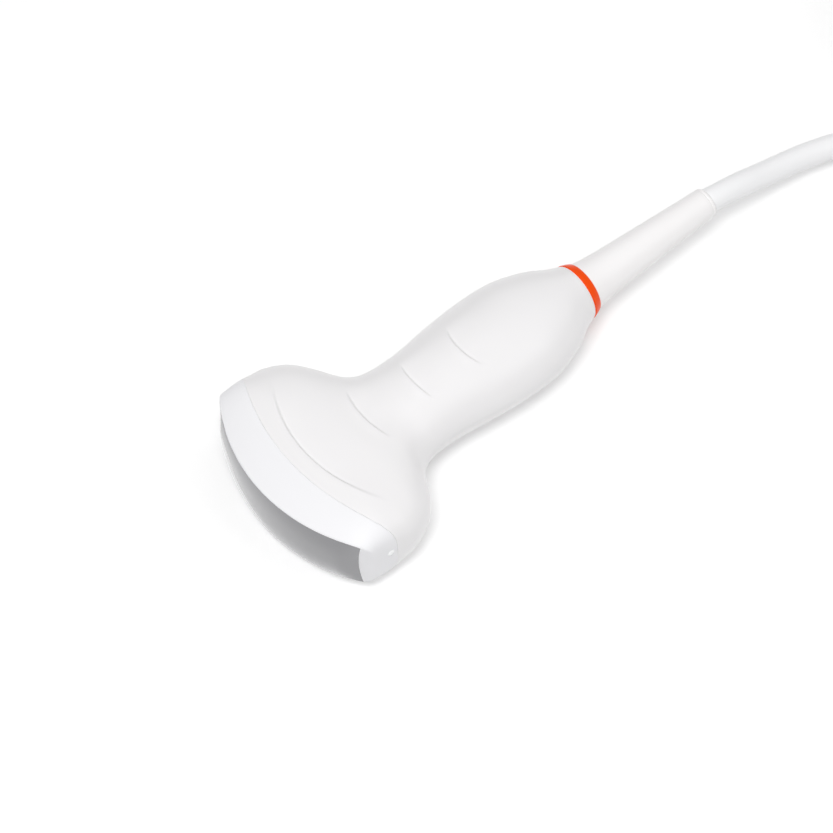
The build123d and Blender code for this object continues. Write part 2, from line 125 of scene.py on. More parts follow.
def moulded(
    name, light, dark, smooth, rough, depth,
    grain_scale=GRAIN_SCALE, cloud_scale=CLOUD_SCALE, specular=0.5, metal=0.0,
):
    """A moulded or cast surface: two close tints in clouds, uneven roughness and a fine grain."""
    material, tree, shader = new_material(name)
    texture = tree.nodes.new("ShaderNodeGroup")
    texture.node_tree = moulded_grain
    texture.inputs["Grain Scale"].default_value = grain_scale
    texture.inputs["Cloud Scale"].default_value = cloud_scale
    tint = tree.nodes.new("ShaderNodeMix")
    tint.data_type = "RGBA"
    tint.inputs["A"].default_value = (*dark, 1)
    tint.inputs["B"].default_value = (*light, 1)
    gloss = tree.nodes.new("ShaderNodeMapRange")
    gloss.inputs["From Min"].default_value = 0.3
    gloss.inputs["From Max"].default_value = 0.7
    gloss.inputs["To Min"].default_value = smooth
    gloss.inputs["To Max"].default_value = rough
    bump = tree.nodes.new("ShaderNodeBump")
    bump.inputs["Distance"].default_value = depth
    bump.inputs["Strength"].default_value = 1.0
    link = tree.links.new
    link(texture.outputs["Cloud"], tint.inputs["Factor"])
    link(tint.outputs["Result"], shader.inputs["Base Color"])
    link(texture.outputs["Marks"], gloss.inputs["Value"])
    link(gloss.outputs["Result"], shader.inputs["Roughness"])
    link(texture.outputs["Grain"], bump.inputs["Height"])
    link(bump.outputs["Normal"], shader.inputs["Normal"])
    shader.inputs["Specular IOR Level"].default_value = specular
    shader.inputs["Metallic"].default_value = metal
    return material


# Each with its light and dark tint, least and most roughness, and depth of grain in metres
white_shell = moulded(
    "white_shell", (0.878, 0.867, 0.874), (0.864, 0.854, 0.860), 0.36, 0.39, 0.000003,
)
nose_white = moulded(
    "nose_white", (0.888, 0.886, 0.905), (0.873, 0.871, 0.89), 0.48, 0.51, 0.000002,
)
mark_white = moulded(
    "mark_white", (0.92, 0.92, 0.93), (0.90, 0.90, 0.91), 0.10, 0.16, 0.000001,
)
lens_grey = moulded(
    "lens_grey", (0.252, 0.252, 0.264), (0.236, 0.236, 0.247), 0.14, 0.17, 0.000001,
    specular=0.75,
)
ring_orange = moulded(
    "ring_orange", (0.97, 0.085, 0.004), (0.93, 0.075, 0.003), 0.34, 0.40, 0.000002,
    specular=0.12,
)
boot_white = moulded(
    "boot_white", (0.95, 0.935, 0.935), (0.935, 0.92, 0.92), 0.40, 0.46, 0.000004,
)
cable_white = moulded(
    "cable_white", (0.925, 0.925, 0.935), (0.91, 0.91, 0.92), 0.40, 0.48, 0.000004,
)
strap_grey = moulded(
    "strap_grey", (0.55, 0.55, 0.57), (0.45, 0.45, 0.47), 0.80, 0.95, 0.00005,
    grain_scale=1500.0,
)
plug_white = moulded(
    "plug_white", (0.85, 0.85, 0.855), (0.83, 0.83, 0.835), 0.40, 0.50, 0.00001,
)
block_black = moulded(
    "block_black", (0.05, 0.05, 0.055), (0.04, 0.04, 0.045), 0.45, 0.60, 0.00001,
)
contact_gold = moulded(
    "contact_gold", (0.93, 0.66, 0.25), (0.88, 0.60, 0.21), 0.22, 0.34, 0.000002,
    metal=1.0,
)
board_green = moulded(
    "board_green", (0.02, 0.17, 0.07), (0.015, 0.13, 0.05), 0.28, 0.40, 0.00001,
    grain_scale=900.0,
)
post_brass = moulded(
    "post_brass", (0.72, 0.52, 0.22), (0.66, 0.46, 0.18), 0.30, 0.42, 0.000003,
    metal=1.0,
)
flex_amber = moulded(
    "flex_amber", (0.58, 0.25, 0.04), (0.50, 0.20, 0.03), 0.25, 0.36, 0.000003,
)
frame_metal = moulded(
    "frame_metal", (0.80, 0.80, 0.81), (0.74, 0.74, 0.75), 0.34, 0.48, 0.00001,
    grain_scale=1400.0, metal=1.0,
)
clamp_steel = moulded(
    "clamp_steel", (0.62, 0.62, 0.63), (0.55, 0.55, 0.56), 0.28, 0.42, 0.000006,
    metal=1.0,
)
ceramic_buff = moulded(
    "ceramic_buff", (0.62, 0.56, 0.44), (0.54, 0.48, 0.37), 0.62, 0.76, 0.00001,
    cloud_scale=160.0,
)
outer_layer = moulded(
    "outer_layer", (0.12, 0.11, 0.11), (0.09, 0.085, 0.085), 0.42, 0.55, 0.000006,
)
inner_layer = moulded(
    "inner_layer", (0.34, 0.32, 0.29), (0.28, 0.26, 0.24), 0.42, 0.55, 0.000006,
    cloud_scale=220.0,
)
backing_rubber = moulded(
    "backing_rubber", (0.055, 0.05, 0.05), (0.035, 0.033, 0.033), 0.66, 0.80, 0.00002,
    grain_scale=900.0,
)
wire_tan = moulded(
    "wire_tan", (0.48, 0.22, 0.12), (0.36, 0.14, 0.08), 0.40, 0.55, 0.00002,
    cloud_scale=900.0,
)

for name, material in (
    ("nosepiece", nose_white),
    ("handle_upper", white_shell),
    ("handle_lower", white_shell),
    ("acoustic_lens", lens_grey),
    ("colour_ring", ring_orange),
    ("strain_relief", boot_white),
    ("cable", cable_white),
    ("cable_inner", cable_white),
    ("cable_hank", cable_white),
    ("cable_lead", cable_white),
    ("cable_tie", strap_grey),
    ("cable_clamp", clamp_steel),
    ("wire_bundle", wire_tan),
    ("outer_matching_layer", outer_layer),
    ("inner_matching_layer", inner_layer),
    ("piezo_array", ceramic_buff),
    ("backing_block", backing_rubber),
    ("array_frame", frame_metal),
    ("board_upper", board_green),
    ("board_lower", board_green),
    ("board_spacers", post_brass),
    ("flex_upper", flex_amber),
    ("flex_lower", flex_amber),
    ("plug_base", plug_white),
    ("plug_cover", plug_white),
    ("plug_boot", boot_white),
    ("plug_contact_block", block_black),
    ("plug_contacts", contact_gold),
    ("plug_board", board_green),
):
    nodes[name].data.materials.clear()
    nodes[name].data.materials.append(material)


# Cable, in metres: from the strain relief over the table, round the hank and on to the plug

CABLE_RADIUS = 0.0035
CABLE_EXIT = (0.07555, 0.0, 0.012)
ROUTE_TO_HANK = [
    CABLE_EXIT,
    (0.084, -0.0010, 0.012),
    (0.096, -0.0014, 0.0086),
    (0.108, -0.0026, 0.0069),
    (0.121, -0.0061, 0.0059),
    (0.135, -0.0120, 0.0043),
    (0.151, -0.0225, 0.0044),
    (0.164, -0.0284, 0.0045),
]
ROUTE_TO_PLUG = [
    (0.240, -0.029, 0.0185),
    (0.302, -0.029, 0.0185),
    (0.313, -0.029, 0.0185),
    (0.328, -0.0252, 0.0173),
    (0.343, -0.0176, 0.0154),
    (0.356, -0.0136, 0.0143),
    (0.368, -0.0125, 0.014),
    (0.379, -0.0125, 0.014),
]
HANK_WEST, HANK_EAST = 0.175, 0.280
OUTER, INNER = 0.029, 0.022
LOW, MIDDLE, TOP = 0.0045, 0.0115, 0.0185
# Each turn: bend and level at the near run's two ends, the far run's two ends and the west fold
HANK_TURNS = (
    ((OUTER, LOW), (OUTER, LOW), (OUTER, LOW), (OUTER, LOW), (OUTER, LOW)),
    ((INNER, LOW), (INNER, LOW), (INNER, LOW), (INNER, LOW), (INNER, MIDDLE)),
    ((INNER, MIDDLE), (INNER, MIDDLE), (INNER, MIDDLE), (OUTER, MIDDLE), (OUTER, MIDDLE)),
    ((OUTER, MIDDLE), (OUTER, MIDDLE), (OUTER, TOP), (OUTER, TOP), (OUTER, TOP)),
)
HANK_END = (OUTER, TOP)
FOLD_ANGLES = (-67.5, -22.5, 22.5, 67.5)
FOLD_HALF_STEP = math.radians(22.5)


def between(one, other, share):
    """Bend and level part of the way from one spot of the hank to another."""
    return [start + (end - start) * share for start, end in zip(one, other)]


def run_end(fold, inward, spot, side):
    """Where a straight run of the hank goes over into a fold."""
    bend, level = spot
    return fold + inward * math.tan(FOLD_HALF_STEP) * bend, side * bend, level


def fold_point(fold, outward, spot, angle):
    """A point round a fold of the hank, as far outside it as the spline cuts its corners."""
    bend, level = spot
    reach = bend / math.cos(FOLD_HALF_STEP)
    along, across = reach * math.cos(math.radians(angle)), reach * math.sin(math.radians(angle))
    return fold + outward * along, outward * across, level


def hank_route():
    """Route points of the hank's turns, each from the west end of its near run."""
    points = []
    next_starts = [turn[0] for turn in HANK_TURNS[1:]] + [HANK_END]
    for turn, next_start in zip(HANK_TURNS, next_starts):
        near_west, near_east, far_east, far_west, fold_west = turn
        points.append(run_end(HANK_WEST, 1, near_west, -1))
        points.append(run_end(HANK_EAST, -1, near_east, -1))
        for angle in FOLD_ANGLES:
            spot = between(near_east, far_east, (angle + 90) / 180)
            points.append(fold_point(HANK_EAST, 1, spot, angle))
        points.append(run_end(HANK_EAST, -1, far_east, 1))
        points.append(run_end(HANK_WEST, 1, far_west, 1))
        for angle in FOLD_ANGLES:
            share = (angle + 90) / 90
            if share < 1:
                spot = between(far_west, fold_west, share)
            else:
                spot = between(fold_west, next_start, share - 1)
            points.append(fold_point(HANK_WEST, -1, spot, angle))
    points.append(run_end(HANK_WEST, 1, HANK_END, -1))
    return points


def lay_cable():
    points = ROUTE_TO_HANK + hank_route() + ROUTE_TO_PLUG
    curve = bpy.data.curves.new("probe_cable", "CURVE")
    curve.dimensions = "3D"
    spline = curve.splines.new("NURBS")
    spline.points.add(len(points) - 1)
    for point, place in zip(spline.points, points):
        point.co = (*place, 1.0)
    spline.order_u = 3
    spline.use_endpoint_u = True
    spline.resolution_u = 12
    curve.bevel_depth = CABLE_RADIUS
    curve.bevel_resolution = 8
    curve.use_fill_caps = True
    cable = bpy.data.objects.new("probe_cable", curve)
    scene.collection.objects.link(cable)
    cable.data.materials.append(cable_white)
    return cable


cable = lay_cable()
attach(cable, "root")
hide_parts("cable", "cable_hank", "cable_lead")


# Housing: the moulded form, in millimetres from the lens along its axis

# Place behind the lens, half width, half thickness and squareness
SECTIONS = (
    (-1.0, 30.0, 12.0, 12.0),
    (4.0, 30.5, 12.0, 12.0),
    (9.0, 31.0, 12.0, 12.0),
    (14.0, 31.5, 12.0, 7.5),
    (19.0, 31.9, 12.0, 4.5),
    (24.0, 31.9, 11.8, 3.4),
    (28.0, 30.5, 11.4, 3.1),
    (31.5, 28.5, 11.0, 2.6),
    (34.5, 24.8, 10.7, 2.3),
    (38.0, 18.6, 10.5, 2.2),
    (41.5, 15.6, 10.5, 2.1),
    (46.0, 14.3, 10.9, 2.1),
    (54.0, 14.2, 11.5, 2.05),
    (64.0, 15.5, 11.9, 2.0),
    (75.0, 16.4, 12.0, 2.0),
    (85.0, 15.8, 11.6, 2.2),
    (91.0, 14.3, 11.0, 2.2),
    (96.0, 12.3, 10.1, 2.2),
    (100.0, 9.9, 9.2, 2.1),
    (104.0, 8.15, 8.15, 2.0),
)
FRONT = -74.95
AXIS_HEIGHT = 12.0
LENS_RADIUS = 52.0
SEAM_DEPTH, SEAM_RADIUS = 10.1, 66.4
HANDLE_LENGTH = 104.3
NOSE_DROP, NOSE_REACH = 3.4, 16.0
NOSE_CORNER = 4.5
NOSE_SIDE = 31.6
CORNER_ACROSS = NOSE_SIDE - NOSE_CORNER
CORNER_ANGLE = math.asin(CORNER_ACROSS / (LENS_RADIUS - NOSE_CORNER))
AXIS_POINT = (0, 0, AXIS_HEIGHT * MM)


def section_sizes(behind):
    """Half width, half thickness and squareness of the form at a place behind the lens."""
    row = 0
    while row < len(SECTIONS) - 2 and behind > SECTIONS[row + 1][0]:
        row += 1
    here, after = SECTIONS[row], SECTIONS[row + 1]
    before, beyond = SECTIONS[max(row - 1, 0)], SECTIONS[min(row + 2, len(SECTIONS) - 1)]
    gap = after[0] - here[0]
    t = (behind - here[0]) / gap
    sizes = []
    for column in (1, 2, 3):
        slope_here = (after[column] - before[column]) / (after[0] - before[0])
        slope_after = (beyond[column] - here[column]) / (beyond[0] - here[0])
        sizes.append(
            (2 * t**3 - 3 * t**2 + 1) * here[column]
            + (t**3 - 2 * t**2 + t) * gap * slope_here
            + (3 * t**2 - 2 * t**3) * after[column]
            + (t**3 - t**2) * gap * slope_after
        )
    return sizes


def front_arc(across):
    """Distance along the nose front, from the axis, of a place at a distance across."""
    side = math.copysign(1.0, across)
    across = abs(across)
    if across < LENS_RADIUS * math.sin(CORNER_ANGLE):
        return side * LENS_RADIUS * math.asin(across / LENS_RADIUS)
    turn = math.asin(min((across - CORNER_ACROSS) / NOSE_CORNER, 1.0))
    return side * (LENS_RADIUS * CORNER_ANGLE + NOSE_CORNER * (turn - CORNER_ANGLE))


def front_plan(arc, inward=0.0):
    """Places behind and across along the nose front: the lens arc, rounded over to the sides."""
    side = math.copysign(1.0, arc)
    turn = abs(arc) / LENS_RADIUS
    if turn <= CORNER_ANGLE:
        radius = LENS_RADIUS - inward
        return LENS_RADIUS - radius * math.cos(turn), side * radius * math.sin(turn)
    turn = CORNER_ANGLE + (abs(arc) - LENS_RADIUS * CORNER_ANGLE) / NOSE_CORNER
    radius = NOSE_CORNER - inward
    back = LENS_RADIUS - (LENS_RADIUS - NOSE_CORNER) * math.cos(CORNER_ANGLE)
    return back - radius * math.cos(turn), side * (CORNER_ACROSS + radius * math.sin(turn))


def front_set_back(across):
    return front_plan(front_arc(across))[0]


def seam_set_back(across):
    return SEAM_DEPTH + SEAM_RADIUS - math.sqrt(SEAM_RADIUS**2 - across**2)


def nose_fall(behind, across):
    """How much thinner the head is near the lens."""
    arc = LENS_RADIUS - math.sqrt(LENS_RADIUS**2 - across**2)
    share = max(0.0, 1 - (behind - arc) / NOSE_REACH)
    return NOSE_DROP * (share**2 if share < 1 else 2 * share - 1)


def rounded_square(turn, squareness):
    """Reach of a unit circle that is squared up, at a turn about its middle."""
    side, rise = abs(math.cos(turn)), abs(math.sin(turn))
    return (side**squareness + rise**squareness) ** (-1 / squareness)


def form_point(behind, turn):
    """Distance from the axis, across and up, of the form's surface."""
    half_width, half_thick, squareness = section_sizes(behind)
    reach = rounded_square(turn, squareness)
    across = half_width * reach * math.cos(turn)
    return across, (half_thick - nose_fall(behind, across)) * reach * math.sin(turn)


def meet(edge, turn, behind):
    """Where the form's line at one turn meets an edge that is curved in plan."""
    for _ in range(12):
        across, up = form_point(behind, turn)
        behind = 0.5 * behind + 0.5 * edge(across)
    return behind


def smoothstep(low, high, value):
    t = min(max((value - low) / (high - low), 0.0), 1.0)
    return t * t * (3 - 2 * t)


def in_place(behind, across, up):
    """The frame's point, in metres, for a place of the housing."""
    return Vector(((FRONT + behind) * MM, across * MM, (AXIS_HEIGHT + up) * MM))


# Ways of working that several pieces share

def select_only(piece):
    bpy.ops.object.select_all(action="DESELECT")
    piece.select_set(True)
    bpy.context.view_layer.objects.active = piece


def grid_piece(name, columns, rows):
    """A fine flat grid, one unit long and wide about the origin, that is then shaped."""
    bpy.ops.object.select_all(action="DESELECT")
    bpy.ops.mesh.primitive_grid_add(x_subdivisions=columns, y_subdivisions=rows, size=1.0)
    piece = bpy.context.active_object
    piece.name = name
    piece.data.name = name
    return piece


def select_parts(piece, mode, parts, wanted):
    """Selects the wanted vertices, edges or faces, and stays in edit mode."""
    bpy.ops.object.mode_set(mode="EDIT")
    bpy.ops.mesh.select_mode(type=mode)
    bpy.ops.mesh.select_all(action="DESELECT")
    bpy.ops.object.mode_set(mode="OBJECT")
    for part in parts:
        part.select = wanted(part)
    bpy.ops.object.mode_set(mode="EDIT")


def dress(piece, node, material):
    """Gives a shaped piece its finish and puts it in place of its CAD node."""
    select_only(piece)
    bpy.ops.object.shade_smooth()
    piece.data.materials.clear()
    piece.data.materials.append(material)
    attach(piece, "root")
    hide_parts(node)


# Grip: two halves that meet along the parting plane, with finger scallops

# Place of the step behind the lens, its depth, its curve in plan, half its width, its fade behind
SCALLOPS = (
    (14.6, 0.85, 42.0, 25.5, 15.0),
    (33.0, 0.72, 26.0, 10.2, 13.0),
    (49.3, 0.62, 21.5, 7.6, 12.0),
    (64.5, 0.62, 15.0, 8.6, 12.0),
)
LIP_HEIGHT, LIP_LENGTH = 0.18, 3.2
SCALLOP_LOWEST = 4.0  # height above the parting plane from which a scallop has its full depth
TURN_IN = (1.0, 0.93, 0.88)
SEAM_ROUND, PARTING_ROUND = 0.16 * MM, 0.03 * MM


def scallop_depth(behind, across):
    """How far a scallop lowers the surface: a lip, a small curved step and a fading hollow."""
    depth = 0.0
    for place, step, radius, half_width, fade in SCALLOPS:
        if abs(across) >= half_width:
            continue
        past = behind - place - radius + math.sqrt(radius**2 - across**2)
        ends = 1 - smoothstep(0.25, 1.0, abs(across) / half_width)
        hollow = smoothstep(-0.2, 0.4, past) * (1 - smoothstep(0.0, fade, past))
        lip = smoothstep(-LIP_LENGTH, -0.3, past) * (1 - smoothstep(-0.3, 0.2, past))
        depth += ends * (step * hollow - LIP_HEIGHT * lip)
    return depth


def turn_in_edges(piece):
    """Turns all open edges inwards and rounds the corners, finely along the parting plane."""
    bpy.ops.object.mode_set(mode="EDIT")
    bpy.ops.mesh.select_mode(type="EDGE")
    bpy.ops.mesh.select_all(action="DESELECT")
    bpy.ops.mesh.select_non_manifold(extend=False)
    bpy.ops.mesh.mark_seam(clear=False)
    bpy.ops.mesh.extrude_edges_move()
    bpy.ops.transform.resize(value=TURN_IN, center_override=AXIS_POINT)
    bpy.ops.object.mode_set(mode="OBJECT")

    def parting(edge):
        ends = (piece.data.vertices[vertex].co for vertex in edge.vertices)
        return all(abs(end.z - AXIS_HEIGHT * MM) < 1e-7 for end in ends)

    select_parts(piece, "EDGE", piece.data.edges, lambda edge: edge.use_seam and not parting(edge))
    bpy.ops.mesh.bevel(offset=SEAM_ROUND, segments=3, profile=0.5, affect="EDGES")
    bpy.ops.object.mode_set(mode="OBJECT")
    select_parts(piece, "EDGE", piece.data.edges, lambda edge: edge.use_seam and parting(edge))
    bpy.ops.mesh.bevel(offset=PARTING_ROUND, segments=1, profile=0.5, affect="EDGES")
    bpy.ops.object.mode_set(mode="OBJECT")
    for edge in piece.data.edges:
        edge.use_seam = False


def shape_grip_half():
    """Upper half of the handle, from the nose seam to the coloured ring."""
    piece = grid_piece("grip_upper", 372, 120)
    starts = {}
    for vertex in piece.data.vertices:
        along, turn = vertex.co.x + 0.5, round(math.pi * (0.5 - vertex.co.y), 6)
        if turn not in starts:
            starts[turn] = meet(seam_set_back, turn, SEAM_DEPTH)
        behind = starts[turn] + (HANDLE_LENGTH - starts[turn]) * along
        across, up = form_point(behind, turn)
        up -= scallop_depth(behind, across) * smoothstep(0.0, SCALLOP_LOWEST, up)
        vertex.co = in_place(behind, across, min(up, AXIS_HEIGHT))
    turn_in_edges(piece)
    return piece


def mirror_grip_half(upper):
    """Lower half of the handle, the upper one turned over."""
    select_only(upper)
    bpy.ops.object.duplicate()
    piece = bpy.context.active_object
    piece.name = "grip_lower"
    bpy.ops.object.mode_set(mode="EDIT")
    bpy.ops.mesh.select_all(action="SELECT")
    bpy.ops.transform.resize(value=(1, 1, -1), center_override=AXIS_POINT)
    bpy.ops.mesh.flip_normals()
    bpy.ops.object.mode_set(mode="OBJECT")
    return piece


grip_upper = shape_grip_half()
grip_lower = mirror_grip_half(grip_upper)
dress(grip_lower, "handle_lower", white_shell)
dress(grip_upper, "handle_upper", white_shell)


# Nosepiece, with the lens window in front and a low dome that marks one side

WINDOW_HALF_ARC, WINDOW_HALF_HEIGHT = 30.86, 8.25
WINDOW_SQUARENESS = 14
WINDOW_BOW = 0.028
WINDOW_WALL = 1.8
WINDOW_ROUND, EDGE_ROUND = 0.12 * MM, 0.35 * MM
CAP_STEPS, FLANK_STEPS, NOSE_LINES = 9, 36, 320
MARK_PLACE = (16.3, -31.5, 1.4)
MARK_RADIUS = 1.1 * MM
MARK_FLATTENING = 0.6
MARK_SIDES, MARK_RINGS = 40, 20


def rounded(before, corner, after, reach, steps):
    """Points round a corner between two flanks."""
    start = corner + (before - corner).normalized() * reach
    end = corner + (after - corner).normalized() * reach
    points = []
    for step in range(steps + 1):
        t = step / steps
        points.append(start * (1 - t) ** 2 + corner * 2 * t * (1 - t) + end * t**2)
    return points


def window_half_arc(up):
    """Half the window's length at a height: its two ends bow in a little."""
    return WINDOW_HALF_ARC * (1 - WINDOW_BOW * max(0.0, 1 - (up / WINDOW_HALF_HEIGHT) ** 2))


def nose_line(turn):
    """One line over the nose: from inside the window over the front edge and into the seam."""
    first = meet(front_set_back, turn, 4.0)
    last = meet(seam_set_back, turn, SEAM_DEPTH)
    across, up = form_point(first, turn)
    edge_arc = front_arc(across)
    reach = rounded_square(turn, WINDOW_SQUARENESS)
    window_up = WINDOW_HALF_HEIGHT * reach * math.sin(turn)
    window_arc = window_half_arc(window_up) * reach * math.cos(turn)

    def cap(share, inward=0.0):
        arc = window_arc + (edge_arc - window_arc) * share
        return in_place(*front_plan(arc, inward), window_up + (up - window_up) * share)

    def flank(share):
        behind = first + (last - first) * share
        return in_place(behind, *form_point(behind, turn))

    inside, window, edge, seam = cap(0.0, WINDOW_WALL), cap(0.0), cap(1.0), flank(1.0)
    axis = AXIS_HEIGHT * MM
    turned_in = Vector((seam.x, seam.y * 0.95, axis + (seam.z - axis) * 0.9))
    rim = (edge - window).length
    window_reach, edge_reach = min(WINDOW_ROUND, 0.2 * rim), min(EDGE_ROUND, 0.55 * rim)
    points = [inside] + rounded(inside, window, cap(0.05), window_reach, 3)
    low, high = window_reach / rim, 1 - edge_reach / rim
    points += [cap(low + (high - low) * step / CAP_STEPS) for step in range(1, CAP_STEPS)]
    points += rounded(cap(0.95), edge, flank(0.02), edge_reach, 6)
    length = (seam - edge).length
    low, high = edge_reach / length, 1 - SEAM_ROUND / length
    points += [flank(low + (high - low) * step / FLANK_STEPS) for step in range(1, FLANK_STEPS)]
    points += rounded(flank(0.98), seam, turned_in, SEAM_ROUND, 3) + [turned_in]
    return points


def add_side_mark(piece):
    """Joins the dome to the nose, its faces last in the mesh, where its own gloss is given
    afterwards as the second material.
    """
    foot = in_place(*MARK_PLACE)
    bpy.ops.object.select_all(action="DESELECT")
    bpy.ops.mesh.primitive_uv_sphere_add(
        segments=MARK_SIDES, ring_count=MARK_RINGS, radius=MARK_RADIUS, location=foot
    )
    bpy.ops.object.transform_apply(location=True, rotation=True, scale=True)
    bpy.ops.object.mode_set(mode="EDIT")
    bpy.ops.mesh.select_all(action="SELECT")
    bpy.ops.transform.resize(value=(1, MARK_FLATTENING, 1), center_override=foot)
    bpy.ops.object.mode_set(mode="OBJECT")
    piece.select_set(True)
    bpy.context.view_layer.objects.active = piece
    bpy.ops.object.join()


def shape_nose():
    """Nosepiece: the form ahead of the seam, closed in front to the lens window."""
    last_point = len(nose_line(0.1)) - 1
    piece = grid_piece("nose_shell", last_point, NOSE_LINES)
    lines = {}
    for vertex in piece.data.vertices:
        turn = round(math.pi * (1 - 2 * vertex.co.y), 6)
        if turn not in lines:
            lines[turn] = nose_line(turn)
        vertex.co = lines[turn][round((vertex.co.x + 0.5) * last_point)]
    bpy.ops.object.mode_set(mode="EDIT")
    bpy.ops.mesh.select_all(action="SELECT")
    bpy.ops.mesh.remove_doubles(threshold=0.001 * MM)
    bpy.ops.object.mode_set(mode="OBJECT")
    add_side_mark(piece)
    return piece


nose_shell = shape_nose()
dress(nose_shell, "nosepiece", nose_white)
nose_shell.data.materials.append(mark_white)
for face in nose_shell.data.polygons[-MARK_SIDES * MARK_RINGS:]:
    face.material_index = 1


# Lens: a rubber sheet over the array, bulging between its four edges

LENS_PROUD, LENS_CROWN, LENS_MARGIN = 0.02, 0.58, 0.07
LENS_LAP = 0.05
CROWN_GROWTH = 1.35  # how much higher the crown is towards the lens's two ends
CROWN_END = 0.78  # share of the half length from which the crown runs out
CROWN_FULLNESS = 2.6


def front_height(arc):
    """Half the nose's thickness along its front edge."""
    behind, across = front_plan(arc)
    half_width, half_thick, squareness = section_sizes(behind)
    share = min(abs(across) / half_width, 1.0)
    half_height = half_thick - nose_fall(behind, across)
    return half_height * (1 - share**squareness) ** (1 / squareness)


def shape_lens():
    piece = grid_piece("lens_window", 200, 64)
    for vertex in piece.data.vertices:
        along, over = -2 * vertex.co.x, 2 * vertex.co.y
        arc = along * (window_half_arc(over * WINDOW_HALF_HEIGHT) + LENS_LAP)
        up = over * (front_height(arc) - LENS_MARGIN)
        run_out = 1 - smoothstep(CROWN_END, 1.0, abs(along))
        swell = LENS_CROWN * (1 + CROWN_GROWTH * along**2) * run_out
        crown = LENS_PROUD + swell * (1 - abs(over) ** CROWN_FULLNESS)
        vertex.co = in_place(*front_plan(arc, -crown), up)
    return piece


lens_window = shape_lens()
dress(lens_window, "acoustic_lens", lens_grey)


# Tail: the coloured ring and the strain relief, by place along the axis and radius in millimetres

RING_PROFILE = [
    (29.2, 5.3),
    (29.32, 7.92), (29.34, 8.1), (29.42, 8.19), (29.54, 8.21), (29.8, 8.13), (30.3, 7.95),
    (30.9, 7.73), (31.4, 7.5), (31.66, 7.36), (31.78, 7.25), (31.84, 7.12), (31.86, 6.9),
    (31.86, 5.3),
]
# Shank and flange in the grip's tail, flared foot, taper, groove and rounded end
SLEEVE_PROFILE = [
    (17.05, 3.5),
    (17.05, 7.0), (19.55, 7.0), (19.55, 5.2), (31.6, 5.2),
    (31.65, 6.9), (31.9, 7.06), (32.3, 7.0), (33.0, 6.87), (34.0, 6.69), (35.5, 6.47),
    (37.5, 6.25), (40.0, 6.06), (44.0, 5.82), (52.0, 5.4), (60.0, 4.98), (68.0, 4.58),
    (73.0, 4.36),
    (74.0, 4.32), (74.12, 4.27), (74.2, 4.19), (74.3, 4.17), (74.4, 4.2), (74.46, 4.26),
    (74.56, 4.28), (74.9, 4.24), (75.15, 4.12), (75.35, 3.94), (75.48, 3.72), (75.5, 3.5),
]
SHARP_ANGLE = math.radians(40)


def turned_piece(name, profile):
    """A round piece on the probe's axis: a circle drawn out from place to place and resized."""
    level = AXIS_HEIGHT * MM
    start, radius = profile[0]
    bpy.ops.object.select_all(action="DESELECT")
    bpy.ops.mesh.primitive_circle_add(
        vertices=128,
        radius=radius * MM,
        location=(start * MM, 0, level),
        rotation=(0, math.pi / 2, 0),
    )
    piece = bpy.context.active_object
    piece.name = name
    piece.data.name = name
    bpy.ops.object.transform_apply(location=True, rotation=True, scale=True)
    bpy.ops.object.mode_set(mode="EDIT")
    bpy.ops.mesh.select_mode(type="EDGE")
    bpy.ops.mesh.select_all(action="SELECT")
    for (before, old), (place, new) in zip(profile, profile[1:] + profile[:1]):
        move = ((place - before) * MM, 0, 0)
        bpy.ops.mesh.extrude_edges_move(TRANSFORM_OT_translate={"value": move})
        growth = new / old
        bpy.ops.transform.resize(
            value=(1, growth, growth), center_override=(place * MM, 0, level)
        )
    bpy.ops.mesh.select_all(action="SELECT")
    bpy.ops.mesh.remove_doubles(threshold=0.001 * MM)
    bpy.ops.mesh.normals_make_consistent(inside=False)
    bpy.ops.object.mode_set(mode="OBJECT")
    return piece


for name, profile, node, material, slot in (
    ("ring_band", RING_PROFILE, "colour_ring", ring_orange, "ring"),
    ("strain_relief_sleeve", SLEEVE_PROFILE, "strain_relief", boot_white, "boot"),
):
    dress(turned_piece(name, profile), node, material)
    bpy.ops.object.shade_smooth_by_angle(angle=SHARP_ANGLE)


# Strap round the hank, in metres: a band of hook-and-loop tape whose end laps over its top

STRAP_MIDDLE, STRAP_SIZE = (0.2275, -0.0255, 0.0115), (0.012, 0.0145, 0.0215)
STRAP_CORNER = 0.0032
LAP_MIDDLE, LAP_SIZE = (0.2275, -0.0232, 0.02270), (0.012, 0.0092, 1.0)
LAP_CORNER = 0.0035
TAPE_THICKNESS, TAPE_EDGE = 0.0005, 0.00012


def shape_band():
    """The band itself: a block with its two open sides cleared and its four corners rounded."""
    bpy.ops.object.select_all(action="DESELECT")
    bpy.ops.mesh.primitive_cube_add(size=1.0, location=STRAP_MIDDLE, scale=STRAP_SIZE)
    band = bpy.context.active_object
    band.name = "hank_strap"
    bpy.ops.object.transform_apply(location=True, rotation=True, scale=True)
    select_parts(band, "FACE", band.data.polygons, lambda face: abs(face.normal.x) > 0.5)
    bpy.ops.mesh.delete(type="FACE")
    bpy.ops.object.mode_set(mode="OBJECT")
    vertices = band.data.vertices

    def across_tape(edge):
        one, other = edge.vertices
        return abs(vertices[one].co.x - vertices[other].co.x) > 0.001

    select_parts(band, "EDGE", band.data.edges, across_tape)
    bpy.ops.mesh.bevel(offset=STRAP_CORNER, segments=8, profile=0.5, affect="EDGES")
    bpy.ops.object.mode_set(mode="OBJECT")
    return band


